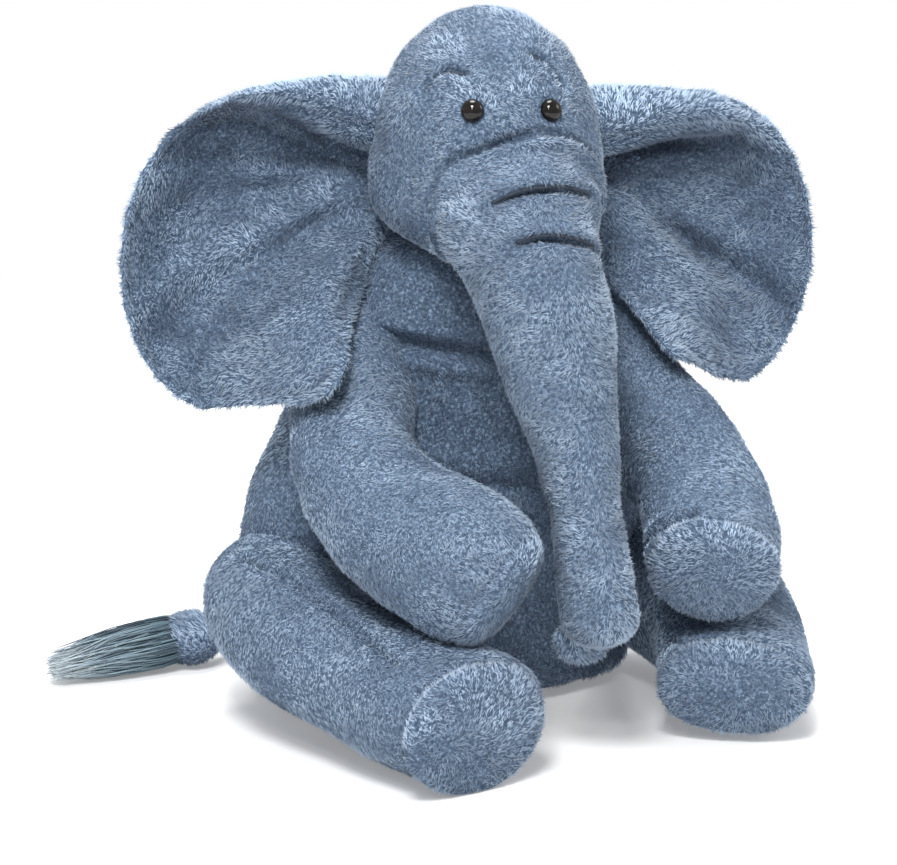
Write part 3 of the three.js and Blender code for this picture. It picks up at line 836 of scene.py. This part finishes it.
for side, eye in eyes.items():
    bead = plainBall("eye_bead_" + side, 48, 32, eyeLook["radius"])
    turn = Vector(eye["out"]).to_track_quat("Z", "Y").to_matrix()
    co = coordsOf(bead)
    co[:, 2] *= eyeLook["flatness"]
    co = co @ np.array(turn).T + eye["spot"] - eye["out"] * eyeLook["sunk"]
    setCoords(bead, co)
    pickOnly(bead)
    bpy.ops.object.shade_smooth()
    bead.data.materials.append(eyeBlack)
    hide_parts("eye_" + side)
    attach(bead, "head")


def clearOfEyes(c):
    # no hair grows on the eyes or in the tucked slits
    clear = np.ones(len(c), bool)
    for run, half in ((upperRun, 2.1), (lowerRun, 2.1), (rightBrowRun, 2.9), (leftBrowRun, 2.9)):
        clear &= nearOn(c, run[2:-2])[0] > half * mm
    for eye in eyes.values():
        clear &= np.linalg.norm(c - eye["spot"] - eye["out"] * mm, axis=1) > eyeLook["radius"] * 0.96
    return clear


def onTrunk(c):
    # the trunk is what lies below and in front of the bridge seam
    return (c[:, 1] < -0.062 - 0.25 * np.maximum(0, c[:, 2] - 0.235)) & (c[:, 2] < 0.262) | (c[:, 2] < 0.19)


def headFlow(points, ups):
    away = points - np.array(headLook["noseBridge"])
    away[:, 2] -= 0.015
    flow = unit(away) + np.array([0, 0.25, -0.45])
    for eye in eyes.values():
        offset = points - eye["spot"]
        near = np.exp(-(np.linalg.norm(offset, axis=1) / 0.011) ** 2)
        flow = flow * (1 - near)[:, None] + unit(offset) * (near * 1.6)[:, None]
    return flow


def trunkFlow(points, ups):
    middle = -0.004 + 0.02 * (0.24 - points[:, 2])
    flow = np.zeros_like(points)
    flow[:, 0] = np.clip((points[:, 0] - middle) / 0.02, -1, 1) * 0.9
    flow[:, 2] = -0.75
    return flow


def faceShade(points):
    # painted shade in the tucked slits and along the bridge seam, on a face a little lighter all over
    slits = paintedGrooveShade(points, (upperRun, lowerRun, rightBrowRun, leftBrowRun), 3.2 * mm, 0.35)
    return 0.06 + slits + paintedGrooveShade(points, (bridgeRun,), 2.2 * mm, 0.42)


headPile = growPile(head, "head_pile", headLook["hairs"], headFlow, 111, length=0.85, shadeAt=faceShade,
                    keep=lambda c: ~onTrunk(c) & clearOfEyes(c) & (c[:, 2] > 0.185))
finishPile(headPile, None)
trunkPile = growPile(head, "trunk_pile", headLook["trunkHairs"], trunkFlow, 112, shadeAt=faceShade,
                     keep=lambda c: onTrunk(c) & clearOfEyes(c))
finishPile(trunkPile, None)
# the wrinkles' threads bend with the skin that they hold
for piece in (head, headPile, trunkPile, *wrinkleThreads):
    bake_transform(piece)
print("head and trunk done")

# ---- arms and legs ----

arm = {"voxel": 2.6 * mm, "end": "pad", "hairs": 37000, "darkSpot": 14 * mm}
leg = {"voxel": 3.2 * mm, "end": "sole", "hairs": 40000, "darkSpot": 18 * mm}
limbLook = {
    "arm_left": {**arm, "seed": 31, "flow": (0, -1, -0.7), "square": 3 * mm, "shoulder": 4 * mm,
                 "paw": 2 * mm, "seam": 0.5},
    "arm_right": {**arm, "seed": 41, "flow": (0.3, -1, -0.7), "square": 1.5 * mm, "shoulder": 3 * mm,
                  "paw": 5 * mm, "seam": 0.4, "reach": 7 * mm, "soften": 14},
    "leg_left": {**leg, "seed": 51, "flow": (0.2, -1, -0.4), "square": 4 * mm},
    "leg_right": {**leg, "seed": 61, "flow": (-0.2, -1, -0.4), "square": 6 * mm, "paw": 3 * mm,
                  "reach": 7 * mm},
}
creases = {
    "arm_left": [[(0.036, -0.096, 0.084), (0.037, -0.104, 0.090),
                  (0.041, -0.114, 0.097), (0.050, -0.121, 0.101)]],
    "leg_right": [[(-0.112, -0.010, 0.078), (-0.100, -0.045, 0.073),
                   (-0.092, -0.085, 0.062), (-0.088, -0.120, 0.052)]],
}


def makeLimb(name, look):
    skinNode, endNode = name + "_skin", name + "_" + look["end"]
    limb = remeshed(copyOfNodes(name + "_plush", [skinNode, endNode]), look["voxel"])
    sinkSkin(limb)
    inflate(limb, 3, 2.5 * mm)
    applyModifier(limb, "SUBSURF", levels=1, render_levels=1)
    endCo = coordsOf(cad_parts[endNode])
    skinCo = coordsOf(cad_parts[skinNode])
    # the seam runs round the limb where the end piece meets the skin
    tree = kdtree.KDTree(len(endCo))
    for number, place in enumerate(endCo):
        tree.insert(place, number)
    tree.balance()
    rim = np.array([p for p in skinCo if tree.find(p)[2] < 1.5 * mm])
    rimCentre = rim.mean(0)
    outward = unit(endCo.mean(0) - rimCentre)
    lumps(limb, 1.0 * mm, 0.05, look["seed"])
    # the end stands out squarely, as a flat piece sewn in does
    co, normals = coordsOf(limb), normalsOf(limb)
    past = (co - rimCentre) @ outward
    squarer = smoothStep(past, 0.001, 0.006) * (1 - np.abs(normals @ outward)) * look["square"]
    # the end reaches further out, and the shoulder and the paw are fuller
    further = smoothStep(past, -0.03, 0.004) * look.get("reach", 0)
    pawShare = smoothStep(past, -0.06, -0.02) * (1 - smoothStep(past, 0.002, 0.012))
    fuller = smoothStep(co[:, 2], 0.12, 0.15) * look.get("shoulder", 0)
    fuller = fuller + pawShare * look.get("paw", 0)
    setCoords(limb, co + normals * (squarer + fuller)[:, None] + outward * further[:, None])
    rimCentre = rimCentre + outward * look.get("reach", 0)
    applyModifier(limb, "SMOOTH", factor=0.5, iterations=look.get("soften", 3))
    pressRing(limb, rimCentre, outward, 1.7 * mm, 2 * mm * look.get("seam", 0.9), 0.06)
    for line in creases.get(name, []):
        sewSeam(limb, line, 2 * mm, 3.5 * mm, 1.2 * mm)
    folds = [snapped(limb, line) for line in creases.get(name, [])]
    levelBase(limb)
    finishSkin(limb, name, [skinNode, endNode, name + "_filling", name + "_pouch"])
    endMiddle = endCo[np.argsort(endCo @ outward)[-12:]].mean(0) + outward * look.get("reach", 0)

    def flow(points, ups):
        away = points - endMiddle
        near = smoothStep((points - rimCentre) @ outward, -0.006, 0.004)[:, None]
        return towards(look["flow"])(points, ups) * (1 - near) + unit(away) * near

    def shade(points):
        # painted shade in the seam round the end piece and in the folds; the end piece itself is a little
        # lighter, and darker towards its middle
        past = (points - rimCentre) @ outward
        onEnd = smoothStep(past, -0.002, 0.006)
        seam = np.exp(-((past - 0.0005) / 0.002) ** 2) * (np.linalg.norm(points - rimCentre, axis=1) < 0.06)
        middle = np.exp(-(np.linalg.norm(points - endMiddle, axis=1) / look["darkSpot"]) ** 2)
        seam = 0.25 * look.get("seam", 1) * seam
        return onEnd * (0.08 - 0.32 * middle) - seam + paintedGrooveShade(points, folds, 2 * mm, 0.3)

    hairs = growPile(limb, name + "_pile", look["hairs"], flow, look["seed"] + 100, shadeAt=shade,
                     keep=lambda c: c[:, 2] > 2 * mm)
    finishPile(hairs, name)


for name, look in limbLook.items():
    makeLimb(name, look)
    print(name, "done")

# ---- ears ----

faceTurn = math.radians(-10)     # the head looks a little towards its right shoulder
faceForward = np.array([math.sin(faceTurn), -math.cos(faceTurn), 0])
neckBack = 20 * mm               # the axis that the head turns on lies this far forward of the origin
earMiddle = (104, 214)           # millimetres out and up, as all places on the ears are
earLook = {
    "voxel": 1.4 * mm,
    "hairs": 34000,
    "topAt": [45, 80, 108, 130, 150],
    "left": {"seed": 75, "top": [272, 272, 268, 255, 232],
             "bandEdge": [(40, 235), (62, 240), (75, 243), (95, 249), (118, 250), (134, 240)],
             "crest": [(64, 222), (84, 205), (106, 187), (132, 168)], "crestHigh": 10,
             "lobes": [(100, 4, 10), (84, -2, 6)]},
    "right": {"seed": 76, "top": [282, 283, 280, 268, 240],
              "bandEdge": [(40, 240), (60, 249), (77, 261), (92, 268), (110, 272), (132, 262)],
              "crest": [(52, 214), (71, 198), (97, 175), (113, 153)], "crestHigh": 11,
              "lobes": [(95, 7, 14), (62, 4, 8), (79, -3, 6)]},
}


def earPlace(co):
    # millimetres out from the middle of the head, and up
    x, y = co[:, 0], co[:, 1] + neckBack
    return np.abs(x * math.cos(-faceTurn) - y * math.sin(-faceTurn)) / mm, co[:, 2] / mm


def lineGap(out, up, line):
    # signed distance to a line on the ear: positive above it; and how far along it is
    best = np.full(len(out), 999.0)
    signed, along = np.zeros(len(out)), np.zeros(len(out))
    for number, ((x0, y0), (x1, y1)) in enumerate(zip(line[:-1], line[1:])):
        dx, dy = x1 - x0, y1 - y0
        t = np.clip(((out - x0) * dx + (up - y0) * dy) / (dx * dx + dy * dy), 0, 1)
        gx, gy = out - x0 - t * dx, up - y0 - t * dy
        far = np.hypot(gx, gy)
        closer = far < best
        side = np.sign(dx * gy - dy * gx)
        best[closer], signed[closer] = far[closer], (far * side)[closer]
        along[closer] = ((number + t) / (len(line) - 1))[closer]
    return signed, along


def rimShare(out, up):
    # 0 at the ear's middle and 1 at its outline
    angle = np.arctan2(up - earMiddle[1], out - earMiddle[0])
    radius = np.hypot(up - earMiddle[1], out - earMiddle[0])
    bins = ((angle + math.pi) / (2 * math.pi) * 72).astype(int) % 72
    edge = np.array([radius[bins == b].max() if (bins == b).any() else 0 for b in range(72)])
    edge = np.maximum(edge, 1)
    edge = (edge + np.roll(edge, 1) + np.roll(edge, -1)) / 3
    return radius / edge[bins]


def makeEar(side):
    look = earLook[side]
    name = "ear_" + side
    ear = remeshed(copyOfNodes(name + "_plush", [name + "_front", name + "_back", name + "_wadding"]),
                   earLook["voxel"], 10)
    sinkSkin(ear, 1.3 * mm)
    co, normals = coordsOf(ear), normalsOf(ear)
    out, up = earPlace(co)
    share = rimShare(out, up)
    facing = smoothStep(normals @ faceForward, -0.1, 0.35)
    above = lineGap(out, up, look["bandEdge"])[0]
    move = np.zeros(len(co))
    # the back panel rolls forward over the top edge as a plump band
    top = np.interp(out, earLook["topAt"], look["top"])
    band = np.interp(out, *zip(*look["bandEdge"]))
    width = np.maximum(top - band, 3)
    t = np.clip((up - band) / width, 0, 1)
    fadeOut = 1 - smoothStep(out, 112, 140)
    roll = np.clip(1 - (2 * t - 1) ** 2, 0, 1) ** 0.55
    move += facing * fadeOut * (up > band) * roll * (6 + 0.5 * width)
    move -= facing * fadeOut * 8 * np.exp(-((above + 5) / 8) ** 2) * (up <= band)
    # the dish is folded where its lower corner falls forward
    fold, foldAlong = lineGap(out, up, look["crest"])
    hold = np.sin(np.pi * np.clip(foldAlong, 0.05, 0.95)) ** 0.5 * (1 - smoothStep(share, 0.85, 1))
    crest = np.exp(-(np.minimum(fold, 0) / 16) ** 2) * np.exp(-(np.maximum(fold, 0) / 4) ** 2)
    move += look["crestHigh"] * hold * crest
    move -= 0.8 * look["crestHigh"] * hold * np.exp(-((fold - 9) / 6) ** 2)
    # soft ridges fan out from the root
    fan = np.arctan2(up - 236, out - 40)
    ridges = np.sin(fan * 15 + 1.3) + 0.6 * np.sin(fan * 26 + 0.4)
    move += 1.6 * ridges * smoothStep(out, 55, 85) * (1 - smoothStep(share, 0.88, 1)) * (up < band)
    move += 1.2 * softNoise(co, 0.045, look["seed"])
    outwards = np.array([math.cos(faceTurn), math.sin(faceTurn), 0]) * (1 if side == "left" else -1)
    sewnTo = -12 * (1 - smoothStep(out, 48, 74)) * smoothStep(up, 145, 180)
    # the lower edge hangs in soft lobes
    hang = np.zeros(len(co))
    for lobeOut, lobeDrop, lobeWide in look["lobes"]:
        hang += lobeDrop * np.exp(-((out - lobeOut) / lobeWide) ** 2)
    hang *= smoothStep(share, 0.55, 1) * (up < 195)
    co = co + faceForward * (move * mm)[:, None] + outwards * (sewnTo * mm)[:, None]
    co[:, 2] -= hang * mm
    setCoords(ear, co)
    # the seams along the rim and in the band, on the front
    normals = normalsOf(ear)
    front = normals @ faceForward
    rimSeam = 1.5 * np.exp(-((share - 0.9) / 0.025) ** 2) * (front > 0.3) * (up < band - 3)
    seamInBand = 2.2 * np.exp(-((t - 0.3) / np.clip(2.2 / width, 0.05, 0.4)) ** 2) * (up > band)
    seamInBand = seamInBand * fadeOut * (front > 0.1)
    setCoords(ear, coordsOf(ear) - normals * ((rimSeam + seamInBand) * mm)[:, None])
    applyModifier(ear, "SMOOTH", factor=0.4, iterations=2)
    finishSkin(ear, None, [name + "_front", name + "_wadding", name + "_back"])

    def flow(points, ups):
        out, up = earPlace(points)
        away = outwards * ((out - 55) / 60)[:, None]
        away[:, 2] += (up - 232) / 60
        return unit(away)

    def shade(points):
        # painted light and shade: shadow under the rolled band and along its lower edge, shade in the upper
        # dish and in the fold beside its crest; light on the band and on the crest, and a painted sheen at
        # the rim
        out, up = earPlace(points)
        share = rimShare(out, up)
        band = np.interp(out, *zip(*look["bandEdge"]))
        fold = lineGap(out, up, look["crest"])[0]
        under = smoothStep(up, band - 34, band - 4) * (1 - smoothStep(up, band, band + 3))
        inner = smoothStep(up, 190, 215) * (1 - smoothStep(share, 0.72, 0.95)) * (up < band)
        paintedLight = 0.1 * smoothStep(share, 0.82, 1) + 0.36 * smoothStep(up, band + 1, band + 6)
        paintedLight += 0.14 * np.exp(-(fold / 9) ** 2)
        paintedShade = 0.16 * inner + 0.3 * under + 0.4 * np.exp(-((up - band) / 2) ** 2)
        paintedShade += 0.2 * np.exp(-((fold - 13) / 8) ** 2)
        return paintedLight - paintedShade

    hairs = growPile(ear, name + "_pile", earLook["hairs"], flow, look["seed"] + 100,
                     lean=0.55, shadeAt=shade)
    finishPile(hairs, None)
    for piece in (ear, hairs):
        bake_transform(piece)


for side in ("left", "right"):
    makeEar(side)
    print("ear", side, "done")

# ---- tail ----

tailLook = {"voxel": 1.5 * mm, "hairs": 7000, "cuffHairs": 3000, "cuffLonger": 12 * mm, "cuffShift": 4 * mm}
tail = remeshed(copyOfNodes("tail_plush", ["tail_filling"]), tailLook["voxel"], 4)
growOut(tail, 2.2 * mm)
finishSkin(tail, "tail", ["tail_skin", "tail_filling"])
tailPile = growPile(tail, "tail_pile", tailLook["hairs"], towards((-1, 0.1, -0.2)), 131, length=1.1)
finishPile(tailPile, "tail")


# a plush cuff hides the thread that gathers the tassel
tieLow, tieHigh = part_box("tail_tie")
cuff = plainBall("tail_cuff_plush", 40, 24, 1)
tieSize = np.array(tieHigh - tieLow) / 2
cuffSize = tieSize + np.array([tailLook["cuffLonger"], 0.2 * mm, 0.2 * mm])
cuffMiddle = np.array(tieLow + tieHigh) / 2 + np.array([tailLook["cuffShift"], 0, 0])
setCoords(cuff, coordsOf(cuff) * cuffSize + cuffMiddle)
levelBase(cuff)
finishSkin(cuff, "tail", ["tail_tie"])
cuffPile = growPile(cuff, "tail_cuff_pile", tailLook["cuffHairs"], towards((-1, 0.1, -0.2)), 132, length=1.2)
finishPile(cuffPile, "tail")


def hairTubes(name, paths, radii, shades, material):
    # long hairs: closed three-sided tubes along their paths, thin at the end
    count, rings, _ = paths.shape
    tangent = unit(np.gradient(paths, axis=1))
    wide = unit(np.cross(tangent, np.array([0.1, 0.3, 1.0])))
    deep = np.cross(tangent, wide)
    taper = np.sin(np.pi * (0.18 + 0.78 * np.linspace(0, 1, rings))) ** 0.6
    corners = []
    for k in range(3):
        angle = 2 * math.pi * k / 3
        offset = wide * math.cos(angle) + deep * math.sin(angle)
        corners.append(paths + offset * (radii[:, None] * taper)[:, :, None])
    verts = np.stack(corners, 2).reshape(count, rings * 3, 3)
    faces = [(0, 1, 2), tuple((rings - 1) * 3 + k for k in (2, 1, 0))]
    for r in range(rings - 1):
        for k in range(3):
            a, b = r * 3 + k, r * 3 + (k + 1) % 3
            faces += [(a, a + 3, b), (b, a + 3, b + 3)]
    faces = np.array(faces)
    loops = (np.arange(count)[:, None, None] * rings * 3 + faces[None]).reshape(-1)
    mesh = bpy.data.meshes.new(name)
    mesh.vertices.add(count * rings * 3)
    mesh.vertices.foreach_set("co", verts.reshape(-1))
    mesh.loops.add(len(loops))
    mesh.loops.foreach_set("vertex_index", loops.astype(np.int32))
    mesh.polygons.add(count * len(faces))
    mesh.polygons.foreach_set("loop_start", np.arange(0, len(loops), 3, dtype=np.int32))
    mesh.update(calc_edges=True)
    hair = loops // (rings * 3)
    along = (loops % (rings * 3)) // 3 / (rings - 1)
    across = (loops % 3 - 1) * 0.02
    spots = np.stack([np.clip(shades[hair] + across, 0.01, 0.99), np.clip(along, 0.02, 0.98)], 1)
    layer = mesh.uv_layers.new(name="OFBake")
    layer.data.foreach_set("uv", spots.reshape(-1).astype(np.float32))
    mesh.materials.append(material)
    obj = bpy.data.objects.new(name, mesh)
    bpy.context.collection.objects.link(obj)
    check = bmesh.new()
    check.from_mesh(mesh)
    if check.calc_volume(signed=True) < 0:
        bmesh.ops.reverse_faces(check, faces=check.faces)
        check.to_mesh(mesh)
    check.free()
    return obj


tasselLook = {
    "hairs": 2300,
    "hairWide": 0.36 * mm,
    "clumps": 60,
    "inCuff": 3 * mm,          # how far the roots start inside the cuff
    "beside": 8 * mm,
    "height": 14 * mm,
    "rootRadius": 4.5 * mm,
    "bellyRadius": 9.5 * mm,
    "flatness": 0.85,
    "drift": 9 * mm,
    "fall": 5 * mm,
    "sway": 1.6 * mm,
    "sideWave": {"turns": 6, "size": 1.6 * mm},
    "upWave": {"turns": 7, "size": 1.2 * mm},
}


def makeTassel(look):
    low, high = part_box("tail_tassel")
    rng = np.random.default_rng(141)
    count = look["hairs"]
    steps = np.linspace(0, 1, 9)
    root = np.array([high.x + look["inCuff"], high.y - look["beside"], look["height"]])
    spread = rng.random(count) ** 0.5
    turn = rng.uniform(0, 2 * math.pi, count)
    clumps = rng.integers(0, look["clumps"], count)
    clumpTurn = rng.normal(0, 1, (look["clumps"], 3))[clumps]
    reach = rng.uniform(0.72, 1.0, count) * (high.x - low.x - 2 * mm)
    sideWave, upWave = look["sideWave"], look["upWave"]
    paths = np.zeros((count, len(steps), 3))
    for number, s in enumerate(steps):
        # the bundle swells past its root and thins again towards its end
        belly = math.sin(math.pi * min(1, 0.12 + s * 0.95)) ** 0.8
        radius = look["rootRadius"] + look["bellyRadius"] * belly * (1 - 0.25 * s)
        x = root[0] - reach * s
        y = root[1] - look["drift"] * s + np.cos(turn) * spread * radius
        z = root[2] - look["fall"] * s + np.sin(turn) * spread * radius * look["flatness"]
        sway = look["sway"] * s
        paths[:, number] = np.stack([x, y + clumpTurn[:, 0] * sway, z + clumpTurn[:, 1] * sway], 1)
        paths[:, number, 1] += np.sin(s * sideWave["turns"] + clumpTurn[:, 2] * 2) * sideWave["size"] * s
        paths[:, number, 2] += np.sin(s * upWave["turns"] + clumpTurn[:, 0] * 2) * upWave["size"] * s
    paths[:, :, 2] = np.maximum(paths[:, :, 2], 0.9 * mm + rng.random(count)[:, None] * 1.5 * mm)
    radii = look["hairWide"] * rng.uniform(0.7, 1.2, count)
    shades = np.clip(0.5 + 0.22 * clumpTurn[:, 2] + rng.normal(0, 0.12, count), 0.04, 0.96)
    tassel = hairTubes("tail_tassel_hair", paths, radii, shades, tasselHair)
    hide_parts("tail_tassel")
    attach(tassel, "tail")


makeTassel(tasselLook)
print("tail done")
